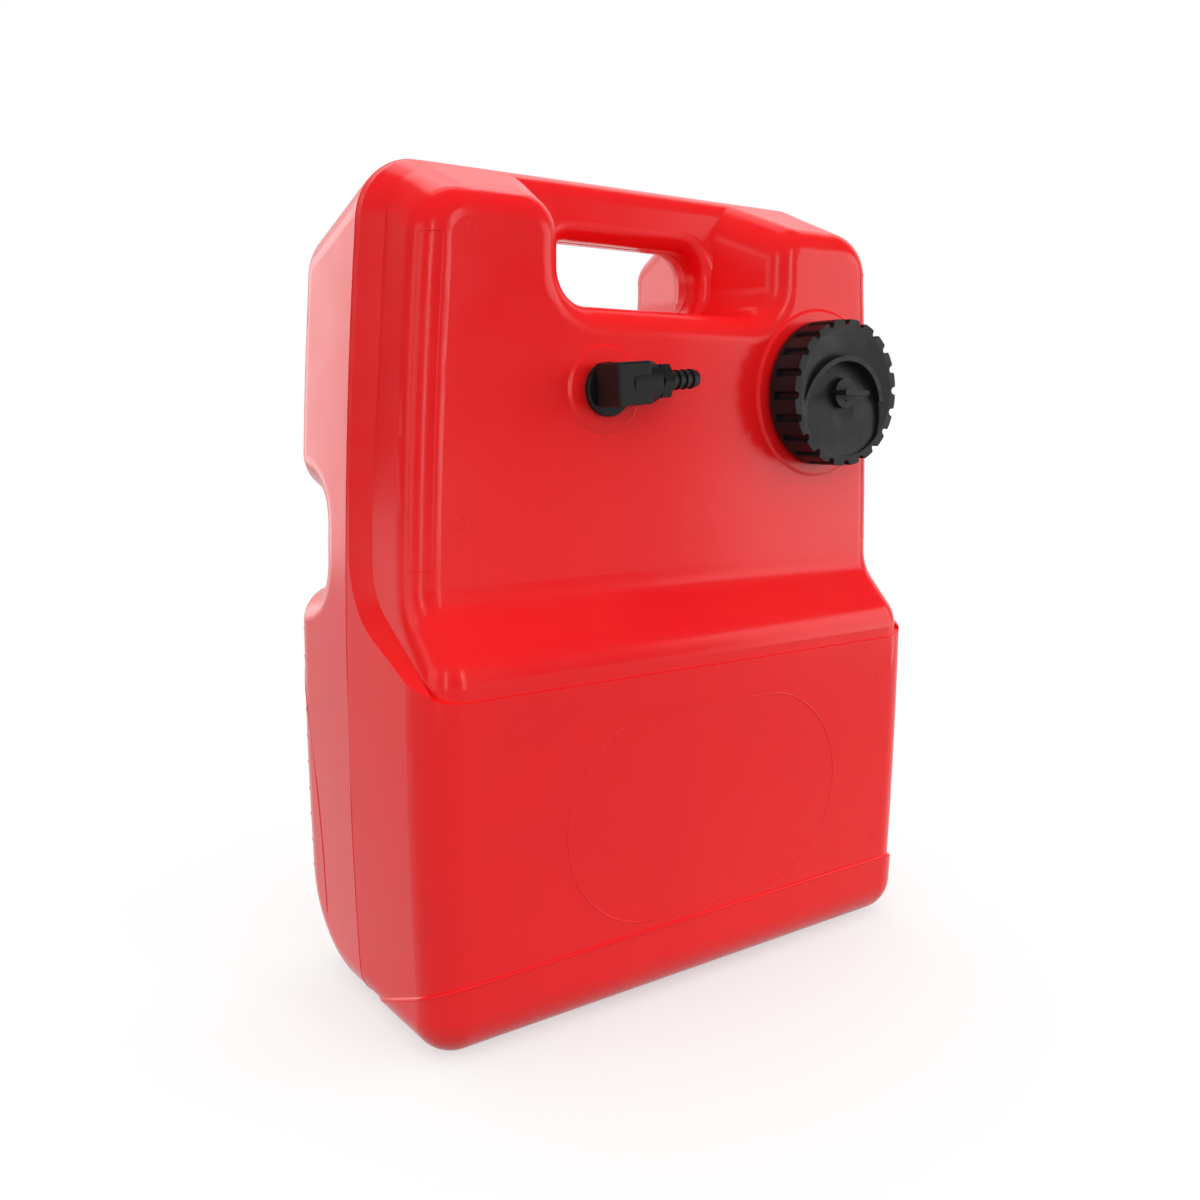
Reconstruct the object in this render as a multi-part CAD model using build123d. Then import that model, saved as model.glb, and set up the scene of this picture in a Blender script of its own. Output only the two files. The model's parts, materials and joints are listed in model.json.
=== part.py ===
from build123d import *
import math
import os

os.makedirs("parts", exist_ok=True)

# Portable outboard fuel tank, 12 litres. Millimetres.
# X runs along the front face, -Y is the front, +Z is up. Y = 0 is the parting
# plane of the blow mould and Z = 0 is the surface that the tank stands on.

# ---------------------------------------------------------------- tank envelope
tank_height = 390.0
base_half_width = 146.0
crown_half_width = 136.0
flank_bulge = 7.5
lower_front = 77.0
upper_front = 53.0
back_face = 65.5
tank_wall = 3.2

# roof: two slopes that meet in a blunt crest on the parting plane
roof_slope = 0.42
crest_half = 5.0
crest_slope = 0.2
crown_corner = 30.0

# outer roundings
front_edge = 14.0
back_edge = 18.0
lower_edge = 18.0
toe_round = 20.0
heel_round = 50.0

# shoulder between the upper and the lower front face
shoulder_line = 160.0
shoulder_foot = 173.0
shoulder_head = 197.0
shoulder_step = 0.8
shoulder_round = 19.0

# side strips: the front half of each side is sunk, behind a sloping step
strip_sink = 5.5
strip_start = crest_half
strip_ramp = 13.0
strip_diagonal = 0.43
strip_bend = 38.0
strip_overcut = 1.5

# toe: below an inclined line the front half stands out a little
toe_swell = 1.2
toe_line_front = 34.5

# carrying handle, its depths measured down from the crest
notch_depth = 63.0
notch_mid_half = 48.0
notch_front_half = 67.0
notch_back_half = 60.0
notch_corner = 15.5
notch_lip = 17.0
bar_half = 15.0
bar_depth = 29.0
bar_edge = 9.0
bar_reach = 72.0

# hand grip across the back
grip_bottom = 191.0
grip_top = 245.0
grip_depth = 31.0
grip_slant = 9.0
grip_lip = 19.0
grip_root = 12.0

# the crown is drawn down to this far under the handle notch
crown_margin = 27.0

# ---------------------------------------------------------------- fittings
# room for the screw threads, play in the swivel, gap between faces that turn
thread_play = 1.2
running_gap = 0.05
turning_gap = 0.3

fitting_drop = 100.5

# filler neck, with a low ring moulded round it
filler_inset = 42.5
neck_radius = 29.2
neck_bore = 24.5
neck_length = 11.0
neck_ring_radius = 43.0
suction_ring_radius = 20.5
ring_height = 1.2
ring_taper = 1.5

# filler cap
cap_radius = 36.7
cap_gap = 3.0
cap_front = 20.9
cap_grooves = 20
cap_groove_width = 3.6
cap_groove_depth = 2.9
cap_groove_stop = 3.0
cap_groove_turn = 2.6
cap_lobe_round = 1.0
cap_rim = 1.2
gasket_thickness = 1.7
gasket_inset = 0.2
gasket_gap = 0.1

# dish and hood in the face of the cap
face_cone_slope = 0.14
dish_radius = 31.8
dish_foot = 0.8
dish_slope = 0.09
hood_radius = 29.3
hood_drop = 10.8
hood_shift = -1.0
hood_width = 2.6
hood_height = 2.2
hood_end_level = -4.0

# vent screw in the middle of the cap
vent_stem = 3.0
vent_groove = 0.6
vent_pad_drop = 0.2
vent_pad_margin = 0.8
vent_boss_radius = 8.0
vent_boss_length = 6.5
vent_head_radius = 7.6
vent_head_height = 3.4
vent_wing_width = 17.4
vent_wing_reach = 7.8
vent_wing_thickness = 2.6
vent_wing_round = 1.17
vent_rise = 2.5
vent_hole_radius = 0.6
vent_ring_section = 0.7
clip_thickness = 0.8
clip_radius = 5.4
stem_end = 1.0
baffle_wall = 1.8
baffle_grip = 4.0
baffle_holes = 6
baffle_hole_radius = 1.2
baffle_hole_circle = 4.9

# suction fitting: bush through the wall, elbow that turns in it, hose tail
suction_x = -43.0
bush_gasket_thickness = 1.0
bush_flange_radius = 12.2
bush_flange = 2.2
bush_shank = 9.0
bush_reach = 14.0
locknut_flats = 23.0
locknut_thickness = 6.0
nipple_radius = 4.4
nipple_length = 11.0
nipple_bore = 2.8
spigot_radius = 6.0
spigot_length = 13.0
spigot_groove = 1.65
elbow_ring_section = 0.78
swivel_ring_width = 1.2
swivel_ring_thickness = 1.0
elbow_back = 8.5
elbow_front = 10.0
elbow_depth = 18.2
elbow_height = 19.2
elbow_edge = 1.2
outlet_rise = 2.2
outlet_forward = 0.4
outlet_lean = 4.5
collar_radius = 9.3
collar_length = 6.0
collar_gap = 0.6
hex_flats = 15.0
hex_length = 5.6
hex_washer = 1.0
tail_length = 18.6
tail_ridge = 4.6
tail_root = 3.8
tail_bore = 2.6
tail_ridges = 4
tail_land = 0.6
tail_neck = 2.4
tail_stub = 5.0
tail_stub_length = 8.0
tail_ring_section = 0.8

# suction hose and strainer inside the tank
hose_radius = 5.9
hose_run = 14.0
hose_bend = 26.0
strainer_radius = 9.0
strainer_length = 34.0
strainer_lift = 3.0
strainer_top = 4.0
strainer_foot = 3.0
strainer_ribs = 6
rib_thickness = 1.6
screen_thickness = 0.6


def circle_through(a, b, c):
    """Centre and radius of the circle through three points."""
    d = 2 * (a[0] * (b[1] - c[1]) + b[0] * (c[1] - a[1]) + c[0] * (a[1] - b[1]))
    sa, sb, sc = (p[0] ** 2 + p[1] ** 2 for p in (a, b, c))
    x = (sa * (b[1] - c[1]) + sb * (c[1] - a[1]) + sc * (a[1] - b[1])) / d
    z = (sa * (c[0] - b[0]) + sb * (a[0] - c[0]) + sc * (b[0] - a[0])) / d
    return x, z, math.hypot(a[0] - x, a[1] - z)


notch_floor = tank_height - notch_depth
bar_underside = tank_height - bar_depth
split_level = notch_floor - crown_margin

flank_x, flank_z, flank_radius = circle_through(
    (base_half_width, 0.0),
    ((base_half_width + crown_half_width) / 2 + flank_bulge, tank_height / 2),
    (crown_half_width, tank_height),
)


def half_width(z, inset):
    """Half width of the barrelled flanks at a height, drawn in by an inset."""
    return flank_x + math.sqrt((flank_radius - inset) ** 2 - (z - flank_z) ** 2)


def roof_level(y):
    """Height of the roof at a depth."""
    crest_drop = crest_slope * min(abs(y), crest_half)
    return tank_height - crest_drop - roof_slope * max(abs(y) - crest_half, 0.0)


def notch_half(y):
    """Half width of the handle notch, which flares to the front and the back."""
    if y < 0:
        return notch_mid_half + (notch_front_half - notch_mid_half) * -y / upper_front
    return notch_mid_half + (notch_back_half - notch_mid_half) * y / back_face


def flank(side, z0, z1, inset):
    mid = (z0 + z1) / 2
    return ThreePointArc(*[(side * half_width(z, inset), z) for z in (z0, mid, z1)])


def rounded(face, points, radius):
    """Round the corners of a face that lie nearest to the given points."""
    corners = [min(face.vertices(), key=lambda v: math.hypot(v.X - x, v.Y - z)) for x, z in points]
    return fillet(corners, radius)


def eased(edges, radius, skin):
    """Round the edges of the outer form, and bevel those of the hollow inside it."""
    if skin <= 0:
        return fillet(edges, radius - skin)
    return chamfer(edges, (2 - math.sqrt(2)) * (radius - skin))


def crown_section(y, sink, skin):
    """Cross-section of the upper tank at a depth, as a face across Y."""
    inset = sink + skin
    top = roof_level(y) - skin * math.hypot(1, roof_slope)
    notch = notch_half(y) + skin
    floor = notch_floor - skin
    low = half_width(split_level, inset)
    high = half_width(top, inset)
    outline = [
        Line((-low, split_level), (low, split_level)),
        flank(1, split_level, top, inset),
        Polyline((high, top), (notch, top), (notch, floor)),
        Polyline((notch, floor), (-notch, floor), (-notch, top), (-high, top)),
        flank(-1, top, split_level, inset),
    ]
    face = make_face(outline)
    face = rounded(face, [(-high, top), (high, top)], crown_corner - inset)
    face = rounded(face, [(-notch, top), (notch, top)], notch_lip - skin)
    face = rounded(face, [(-notch, floor), (notch, floor)], notch_corner + skin)
    return Plane.XZ.offset(-y) * face


def loop_edges(solid, end, level):
    """Edges round the foremost or rearmost flat face, without its cut at a level."""
    face = solid.faces().sort_by(Axis.Y)[end]
    return face.edges().filter_by(lambda e: abs(e.center().Z - level) > 0.01)


def crown_form(skin):
    """The tank above the split level, without the handle bar."""
    front, back = -(upper_front - skin), back_face - skin
    ramp_end = -(strip_start + strip_ramp)
    whole = [(back, 0), (crest_half, 0), (0, 0), (-strip_start, 0)]
    sunk = [(ramp_end, strip_sink), (front, strip_sink)]
    solid = loft([crown_section(y, sink, skin) for y, sink in whole + sunk], ruled=True)
    solid = eased(loop_edges(solid, 0, split_level), front_edge, skin)
    return eased(loop_edges(solid, -1, split_level), back_edge, skin)


def bar_form(skin):
    """The carrying bar on the parting plane, with the finger opening under it."""
    side = bar_half - skin
    drop = skin * math.hypot(1, roof_slope)
    crest = [(y, roof_level(y) - drop) for y in (-side, -crest_half, 0, crest_half, side)]
    section = make_face(Polyline((-side, split_level), *crest, (side, split_level), close=True))
    section = rounded(section, [crest[0], crest[-1]], bar_edge - skin)
    bar = extrude(Plane.YZ * section, bar_reach, both=True)
    height = bar_underside - notch_floor + 2 * skin
    width = 2 * (notch_mid_half + skin)
    middle = (bar_underside + notch_floor) / 2
    opening = RectangleRounded(width, height, notch_corner + skin)
    bar -= extrude(Plane.XZ * Pos(0, middle) * opening, 2 * bar_half, both=True)
    rims = bar.edges().filter_by(lambda e: abs(abs(e.center().Y) - side) < 0.01)
    rims = rims.filter_by(lambda e: abs(e.center().X) < bar_reach - 1)
    rims = rims.filter_by(lambda e: notch_floor - 2 * skin - 1 < e.center().Z < bar_underside + 2 * skin + 1)
    return eased(rims, bar_edge, skin)


def flank_slab(inset, top):
    """Everything between the two barrelled flanks, from below the base to a level."""
    low, high = half_width(-1, inset), half_width(top, inset)
    outline = [
        Line((-low, -1), (low, -1)),
        flank(1, -1, top, inset),
        Line((high, top), (-high, top)),
        flank(-1, top, -1, inset),
    ]
    return extrude(Plane.XZ * make_face(outline), 2 * lower_front, both=True)


def side_edges(solid, level):
    """Edges round both flank faces, without their cuts at a level."""
    found = ShapeList()
    for face in solid.faces().filter_by(lambda f: abs(f.normal_at().X) > 0.9):
        found += face.edges().filter_by(lambda e: abs(e.center().Z - level) > 0.01)
    return found


def trunk_block(skin, sink):
    """The lower tank at full width, with heel, toe and hand grip, up to the split level."""
    front, back = -(lower_front - skin - sink), back_face - skin
    base = skin
    grip = back_face - grip_depth - skin
    lip_low, lip_high = grip_bottom - skin, grip_top + skin
    root_low, root_high = grip_bottom + grip_slant - skin, grip_top - grip_slant + skin
    outline = [
        (front, base), (back, base), (back, lip_low), (grip, root_low),
        (grip, root_high), (back, lip_high), (back, split_level), (front, split_level),
    ]
    face = make_face(Polyline(*outline, close=True))
    face = rounded(face, [(front, base)], toe_round - skin)
    face = rounded(face, [(back, base)], heel_round - skin)
    face = rounded(face, [(back, lip_low), (back, lip_high)], grip_lip - skin)
    face = rounded(face, [(grip, root_low), (grip, root_high)], grip_root + skin)
    block = extrude(Plane.YZ * face, 2 * base_half_width, both=True)
    block &= flank_slab(skin + sink, split_level)
    return eased(side_edges(block, split_level), lower_edge, skin)


def strip_outline(back_shift, skin):
    """The sunk strip and the shoulder in side view, as a face in depth and height."""
    upright = -(strip_start + back_shift) + skin
    lift = back_shift * math.hypot(1, strip_diagonal) - skin
    far = -3 * lower_front
    heel = shoulder_line + lift + strip_diagonal * (upright + lower_front)
    slope = (heel - shoulder_line + skin) / (upright + lower_front)
    tip = shoulder_line - skin + slope * (far + lower_front)
    top = split_level + 10
    face = make_face(Polyline((upright, top), (upright, heel), (far, tip), (far, top), close=True))
    return rounded(face, [(upright, heel)], strip_bend - back_shift)


def strip_cutter(side, skin):
    """Sunk strip of one side, cut from the flank, with its sloping step."""
    low, high = shoulder_line, split_level
    inset = strip_sink + skin
    origin = Vector(half_width(low, inset), 0, low)
    upward = Vector(half_width(high, inset), 0, high) - origin
    plane = Plane(origin=origin, x_dir=(0, 1, 0), z_dir=Vector(0, 1, 0).cross(upward))
    reach = strip_sink + strip_overcut
    slope = strip_ramp / strip_sink
    sections = []
    for depth, shift in ((0, strip_ramp), (reach, strip_ramp - slope * reach)):
        sections.append(plane.offset(depth) * Pos(0, -low) * strip_outline(shift, skin))
    cutter = loft(sections, ruled=True)
    return cutter if side > 0 else mirror(cutter, about=Plane.YZ)


def shoulder_block(skin):
    """The upper front between the sunk strips, down over the shoulder."""
    front, foot_front = -(upper_front - skin), -(lower_front - shoulder_step - skin)
    rise = shoulder_head - shoulder_foot
    turn = math.atan2(rise, foot_front - front)
    shift = skin * (1 - math.sin(turn)) / math.cos(turn)
    foot, head = shoulder_foot + shift, shoulder_head + shift
    low = shoulder_line - 2 * shoulder_round
    slope = [(foot_front, low), (foot_front, foot), (front, head), (front, split_level)]
    face = make_face(Polyline((0, low), *slope, (0, split_level), close=True))
    face = rounded(face, [(foot_front, foot)], shoulder_round - skin)
    face = rounded(face, [(front, head)], shoulder_round + skin)
    block = extrude(Plane.YZ * face, 2 * base_half_width, both=True)
    block &= flank_slab(strip_sink + skin, split_level)
    edges = side_edges(block, split_level)
    edges = edges.filter_by(lambda e: e.center().Y < -1 and abs(e.center().Z - low) > 0.01)
    return eased(edges, front_edge, skin)


def trunk_form(skin):
    """The tank below the split level."""
    toe_plane = Plane(origin=(0, 0, skin), z_dir=(0, toe_line_front / lower_front, 1))
    body = split(trunk_block(skin, 0), bisect_by=toe_plane, keep=Keep.TOP)
    body += split(trunk_block(skin, -toe_swell), bisect_by=toe_plane, keep=Keep.BOTTOM)
    core = extrude(Plane.YZ * strip_outline(0, skin), 2 * base_half_width, both=True)
    body -= core & flank_slab(strip_sink + skin, split_level + crown_margin)
    for side in (1, -1):
        body -= strip_cutter(side, skin)
    return body + shoulder_block(skin)


def tank_form(skin):
    """The whole moulding drawn in by a skin, without its bosses."""
    return crown_form(skin) + bar_form(skin) + trunk_form(skin)


# ------------------------------------------------------- places of the fittings
# local X runs across the tank, local Y upwards and local Z out of the front face
fitting_level = tank_height - fitting_drop
filler_x = crown_half_width - filler_inset
filler = Plane(origin=(filler_x, -upper_front, fitting_level), x_dir=(1, 0, 0), z_dir=(0, -1, 0))
suction = Plane(origin=(suction_x, -upper_front, fitting_level), x_dir=(1, 0, 0), z_dir=(0, -1, 0))

cap_ceiling = neck_length + gasket_thickness + gasket_gap
vent_seat = cap_front - dish_foot - dish_slope * dish_radius - vent_pad_drop
vent_boss_end = cap_ceiling - vent_boss_length
clip_top = vent_boss_end - vent_rise - turning_gap

bush_foot = ring_height + bush_gasket_thickness
elbow_seat = bush_foot + bush_flange + turning_gap
outlet_height = elbow_seat + elbow_depth / 2 + outlet_forward
spigot_end = elbow_seat - spigot_length
hex_foot = elbow_front + collar_length + collar_gap
hose_line = -upper_front + bush_reach + hose_run + hose_bend
strainer_level = tank_wall + strainer_lift + strainer_length


def placed(plane, shape):
    """A shape drawn in a fitting's own frame, put in its place."""
    return plane.location * shape


def disc(radius, low, high):
    """A round plate between two heights of its own axis."""
    return Pos(0, 0, low) * extrude(Circle(radius), high - low)


def washer(outer, inner, low, high):
    """A flat ring between two heights of its own axis."""
    return Pos(0, 0, low) * extrude(Circle(outer) - Circle(inner), high - low)


def turned(points):
    """A solid of revolution from a half section of (radius, height) points."""
    return revolve(make_face(Polyline(*[(r, 0, h) for r, h in points], close=True)), Axis.Z)


def seal_ring(radius, section, height):
    """A round seal with an eight-sided section, from its middle line's radius."""
    outline = Pos(radius, 0) * RegularPolygon(section, 8)
    return Pos(0, 0, height) * revolve(Plane.XZ * outline, Axis.Z)


# ------------------------------------------------------------------ tank shell
def moulded_rings():
    """Low rings round both fittings, following the front of the tank."""
    front = crown_form(-ring_height) + shoulder_block(-ring_height)
    rings = []
    for plane, radius in ((filler, neck_ring_radius), (suction, suction_ring_radius)):
        stem = disc(radius, -upper_front / 2, 0)
        top = Pos(0, 0, ring_height / 2) * Cone(radius, radius - ring_taper, ring_height)
        rings.append(placed(plane, stem + top) & front)
    return rings


def tank_body():
    """Blow-moulded tank: outer form, neck and rings, less the hollow inside."""
    tank = tank_form(0)
    for raised in moulded_rings():
        tank += raised
    tank += placed(filler, disc(neck_radius, -tank_wall / 2, neck_length))
    tank -= tank_form(tank_wall)
    tank -= placed(filler, disc(neck_bore, -2 * tank_wall, neck_length + 1))
    tank -= placed(suction, disc(bush_shank + running_gap, -2 * tank_wall, 2 * ring_height))
    return tank


# ------------------------------------------------------------------ filler cap
def lobed_grip():
    """Grip of the cap: a round with round-bottomed grooves and rounded lobes."""
    start = cap_gap + cap_groove_stop
    grip = disc(cap_radius, start, cap_front)
    slot = SlotOverall(2 * cap_groove_depth, cap_groove_width)
    cutter = Pos(cap_radius, 0, start) * extrude(slot, cap_front - start)
    for k in range(cap_grooves):
        grip -= Rot(0, 0, cap_groove_turn + k * 360 / cap_grooves) * cutter
    tip = cap_radius - 0.1
    lobes = grip.edges().filter_by(Axis.Z)
    lobes = lobes.filter_by(lambda e: math.hypot(e.center().X, e.center().Y) > tip)
    grip = fillet(lobes, cap_lobe_round)
    return grip + disc(cap_radius, cap_gap, start)


def dish_cut():
    """What the tilted dish takes out of the face, under the hood's circle."""
    under_hood = Pos(hood_shift, -hood_drop) * Circle(hood_radius - hood_width)
    outline = Circle(dish_radius) & under_hood
    block = extrude(Pos(0, 0, vent_seat - cap_radius) * outline, 2 * cap_radius)
    floor = Plane(origin=(0, -dish_radius, cap_front - dish_foot), z_dir=(0, dish_slope, 1))
    return split(block, bisect_by=floor, keep=Keep.TOP)


def hood():
    """Arched lip over the upper half of the dish, running out at both ends."""
    arch = Circle(hood_radius) - Circle(hood_radius - hood_width)
    arch = Pos(hood_shift, -hood_drop) * arch
    window = Pos(0, hood_end_level + cap_radius) * Rectangle(2 * cap_radius, 2 * cap_radius)
    lip = extrude(Pos(0, 0, cap_ceiling) * (arch & window), cap_front + hood_height - cap_ceiling)
    crest = hood_radius - hood_drop
    fall = hood_height / (crest - hood_end_level)
    top = Plane(origin=(0, hood_end_level, cap_front), z_dir=(0, -fall, 1))
    return split(lip, bisect_by=top, keep=Keep.BOTTOM)


def filler_cap():
    """Lobed screw cap with a dished face, a hood and a boss for the vent screw."""
    body = lobed_grip()
    rim = cap_radius - cap_groove_depth - cap_rim
    cone_depth = face_cone_slope * rim
    body -= Pos(0, 0, cap_front - cone_depth / 2) * Cone(0.01, rim, cone_depth)
    body += hood()
    body -= dish_cut()
    body += disc(vent_head_radius + vent_pad_margin, cap_ceiling, vent_seat)
    body -= disc(vent_head_radius + turning_gap, vent_seat, cap_front)
    body -= disc(neck_radius + thread_play, cap_gap - 1, cap_ceiling)
    body += disc(vent_boss_radius, vent_boss_end, cap_ceiling)
    pocket = vent_stem + 2 * vent_ring_section + running_gap
    body -= disc(vent_stem + running_gap, vent_boss_end - 1, cap_front)
    body -= disc(pocket, vent_seat - 2 * vent_ring_section, vent_seat + turning_gap)
    return placed(filler, body)


def cap_gasket():
    """Flat fuel-proof gasket on the rim of the neck."""
    top = neck_length + gasket_thickness
    return placed(filler, washer(neck_radius - gasket_inset, neck_bore + gasket_inset, neck_length, top))


def splash_baffle():
    """Cup snapped over the vent boss, so that fuel can't splash up the vent."""
    inner = vent_boss_radius + 2 * running_gap
    outer = inner + baffle_wall
    bottom = stem_end - 2 * baffle_wall
    cup = disc(outer, bottom, vent_boss_end + baffle_grip)
    cup -= disc(inner, bottom + baffle_wall, cap_ceiling)
    for k in range(baffle_holes):
        hole = Pos(baffle_hole_circle, 0, bottom) * Cylinder(baffle_hole_radius, 4 * baffle_wall)
        cup -= Rot(0, 0, k * 360 / baffle_holes) * hole
    return placed(filler, cup)


def vent_screw():
    """Vent screw: flat wing, round head, stem through the cap, groove for its clip."""
    head_top = vent_seat + vent_head_height
    screw = disc(vent_head_radius, vent_seat + gasket_gap, head_top)
    screw += disc(vent_stem, stem_end, head_top)
    wing = Rectangle(vent_wing_width, vent_wing_thickness)
    wing = fillet(wing.vertices(), vent_wing_round)
    root = vent_head_height / 2
    screw += Pos(0, 0, head_top - root) * extrude(wing, vent_wing_reach + root)
    clip_foot = clip_top - clip_thickness - running_gap
    screw -= washer(vent_stem + 1, vent_stem - vent_groove, clip_foot, clip_top + running_gap)
    screw -= Pos(0, -vent_head_radius / 2, head_top) * Cylinder(vent_hole_radius, vent_head_height)
    return placed(filler, screw)


def vent_oring():
    """O-ring under the head of the vent screw."""
    radius = vent_stem + vent_ring_section + running_gap / 2
    middle = vent_seat - vent_ring_section + gasket_gap
    return placed(filler, seal_ring(radius, vent_ring_section, middle))


def vent_clip():
    """Clip that keeps the vent screw in the cap."""
    bore = vent_stem - vent_groove + running_gap
    return placed(filler, washer(clip_radius, bore, clip_top - clip_thickness, clip_top))


# ------------------------------------------------------------- suction fitting
def hexagon(flats):
    """Hexagon outline from its width across flats."""
    return RegularPolygon(flats / 2, 6, major_radius=False)


def bush_gasket():
    """Gasket between the bush and the tank's ring."""
    return placed(suction, washer(bush_flange_radius, bush_shank + running_gap, ring_height, bush_foot))


def outlet_bush():
    """Flanged bush through the wall, with a nipple for the hose inside."""
    shoulder = -bush_reach
    bore = spigot_radius + running_gap
    ring_middle = spigot_end + swivel_ring_thickness * 2
    bush = disc(bush_flange_radius, bush_foot, bush_foot + bush_flange)
    bush = chamfer(bush.edges().group_by(Axis.Z)[-1], bush_flange / 3)
    bush += disc(bush_shank, shoulder, bush_foot)
    bush += disc(nipple_radius, shoulder - nipple_length, shoulder)
    bush -= disc(bore, spigot_end - turning_gap, bush_foot + bush_flange)
    bush -= disc(nipple_bore, shoulder - nipple_length, spigot_end)
    groove = swivel_ring_thickness / 2 + running_gap
    groove_radius = spigot_radius + swivel_ring_width / 2 + running_gap
    bush -= disc(groove_radius, ring_middle - groove, ring_middle + groove)
    return placed(suction, bush)


def bush_locknut():
    """Nut that clamps the bush to the wall from inside."""
    nut = extrude(hexagon(locknut_flats) - Circle(bush_shank + running_gap), locknut_thickness)
    return placed(suction, Pos(0, 0, -tank_wall - locknut_thickness) * nut)


def swivel_ring():
    """Split ring in the bush that holds the elbow's spigot in."""
    half = swivel_ring_width / 2
    ring = washer(spigot_radius + half, spigot_radius - half, 0, swivel_ring_thickness)
    split_gap = Box(2 * swivel_ring_width, 3 * swivel_ring_width, 4 * swivel_ring_thickness)
    ring -= Pos(0, spigot_radius, 0) * split_gap
    return placed(suction, Pos(0, 0, spigot_end + 1.5 * swivel_ring_thickness) * ring)


def leaned(shape):
    """Turns what swivels to the way the outlet points at rest."""
    return placed(suction, Rot(0, 0, outlet_lean) * shape)


def along_outlet(shape):
    """Puts a shape drawn on the Z axis along the outlet's axis."""
    return Pos(0, outlet_rise, outlet_height) * Rot(0, 90, 0) * shape


def outlet_elbow():
    """Square elbow on a round spigot, with a round collar at its outlet."""
    middle = (elbow_front - elbow_back) / 2
    width = elbow_front + elbow_back
    block = fillet(Box(width, elbow_height, elbow_depth).edges(), elbow_edge)
    block = Pos(middle, outlet_rise, elbow_seat + elbow_depth / 2) * block
    collar = disc(collar_radius, 0, elbow_front + collar_length)
    collar = chamfer(collar.edges().group_by(Axis.Z)[-1], elbow_edge / 2)
    elbow = block + along_outlet(collar)
    elbow += disc(spigot_radius, spigot_end, elbow_seat + elbow_edge)
    oring_level = elbow_seat - 3 * elbow_ring_section - bush_flange
    groove = elbow_ring_section + running_gap
    root = spigot_radius - spigot_groove
    elbow -= washer(spigot_radius + 1, root, oring_level - groove, oring_level + groove)
    ring_middle = spigot_end + 2 * swivel_ring_thickness
    groove = swivel_ring_thickness / 2 + running_gap
    root = spigot_radius - swivel_ring_width / 2 - running_gap
    elbow -= washer(spigot_radius + 1, root, ring_middle - groove, ring_middle + groove)
    elbow -= disc(nipple_bore, spigot_end, outlet_height)
    end = elbow_front + collar_length
    elbow -= along_outlet(disc(tail_bore, 0, end))
    passage = Box(2 * nipple_bore, outlet_rise, 2 * tail_bore)
    elbow -= Pos(0, outlet_rise / 2, outlet_height) * passage
    elbow -= along_outlet(disc(tail_stub + running_gap, end - tail_stub_length - turning_gap, end))
    seat = tail_stub + 2 * tail_ring_section
    elbow -= along_outlet(disc(seat + running_gap, hex_foot - 2 * tail_ring_section, end))
    return leaned(elbow)


def elbow_oring():
    """O-ring on the spigot."""
    level = elbow_seat - 3 * elbow_ring_section - bush_flange
    radius = spigot_radius - spigot_groove + running_gap + elbow_ring_section
    return placed(suction, seal_ring(radius, elbow_ring_section, level))


def hose_tail():
    """Hose tail: threaded stub, washer face, hexagon and ridged barb."""
    stub_foot = elbow_front + collar_length - tail_stub_length
    tail = disc(tail_stub, stub_foot, hex_foot)
    tail += disc(hex_flats / 2, hex_foot, hex_foot + hex_washer)
    tail += Pos(0, 0, hex_foot + hex_washer) * extrude(hexagon(hex_flats), hex_length)
    start = hex_foot + hex_washer + hex_length
    tail += disc(tail_root, start, start + tail_length)
    pitch = (tail_length - tail_neck) / tail_ridges
    for k in range(tail_ridges):
        low = start + tail_neck + k * pitch
        high = low + pitch
        barb = [(tail_ridge, low), (tail_ridge, low + tail_land), (tail_root, high)]
        tail += turned([(tail_bore, low), *barb, (tail_bore, high)])
    tail -= disc(tail_bore, stub_foot, start + tail_length)
    return leaned(along_outlet(tail))


def hose_tail_oring():
    """O-ring between the collar and the hose tail."""
    radius = tail_stub + tail_ring_section + running_gap / 2
    middle = hex_foot - tail_ring_section
    return leaned(along_outlet(seal_ring(radius, tail_ring_section, middle)))


# -------------------------------------------------------- suction hose and strainer
def suction_hose():
    """Hose from the bush's nipple down to the strainer."""
    start = (suction_x, -upper_front + bush_reach, fitting_level)
    corner = (suction_x, hose_line, fitting_level)
    end = (suction_x, hose_line, strainer_level)
    route = FilletPolyline(start, corner, end, radius=hose_bend)
    section = Plane(origin=start, z_dir=(0, 1, 0)) * (Circle(hose_radius) - Circle(nipple_radius))
    return sweep(section, path=route)


def strainer_body():
    """Strainer cage: nipple, two end plates and ribs between them."""
    foot = tank_wall + strainer_lift
    cage = disc(strainer_radius, foot, foot + strainer_foot)
    cage += disc(strainer_radius, strainer_level - strainer_top, strainer_level)
    cage += disc(nipple_radius, strainer_level, strainer_level + nipple_length)
    inner = strainer_radius - screen_thickness - running_gap
    for k in range(strainer_ribs):
        rib = Pos((inner + nipple_bore) / 2, 0) * Rectangle(inner - nipple_bore, rib_thickness)
        bar = Pos(0, 0, foot) * extrude(rib, strainer_length)
        cage += Rot(0, 0, k * 360 / strainer_ribs) * bar
    cage -= disc(nipple_bore, foot + strainer_foot, strainer_level + nipple_length)
    return Pos(suction_x, hose_line, 0) * cage


def strainer_screen():
    """Fine screen round the cage."""
    low = tank_wall + strainer_lift + strainer_foot
    screen = washer(strainer_radius, strainer_radius - screen_thickness, low, strainer_level - strainer_top)
    return Pos(suction_x, hose_line, 0) * screen


pieces = [
    tank_body,
    filler_cap,
    cap_gasket,
    splash_baffle,
    vent_screw,
    vent_oring,
    vent_clip,
    bush_gasket,
    outlet_bush,
    bush_locknut,
    swivel_ring,
    outlet_elbow,
    elbow_oring,
    hose_tail,
    hose_tail_oring,
    suction_hose,
    strainer_body,
    strainer_screen,
]

if __name__ == "__main__":
    for piece in pieces:
        export_step(piece(), f"parts/{piece.__name__}.step")
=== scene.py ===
"""Looks of the outboard fuel tank: finishes, moulded marks, threads, light and camera."""

import json
import math

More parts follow.
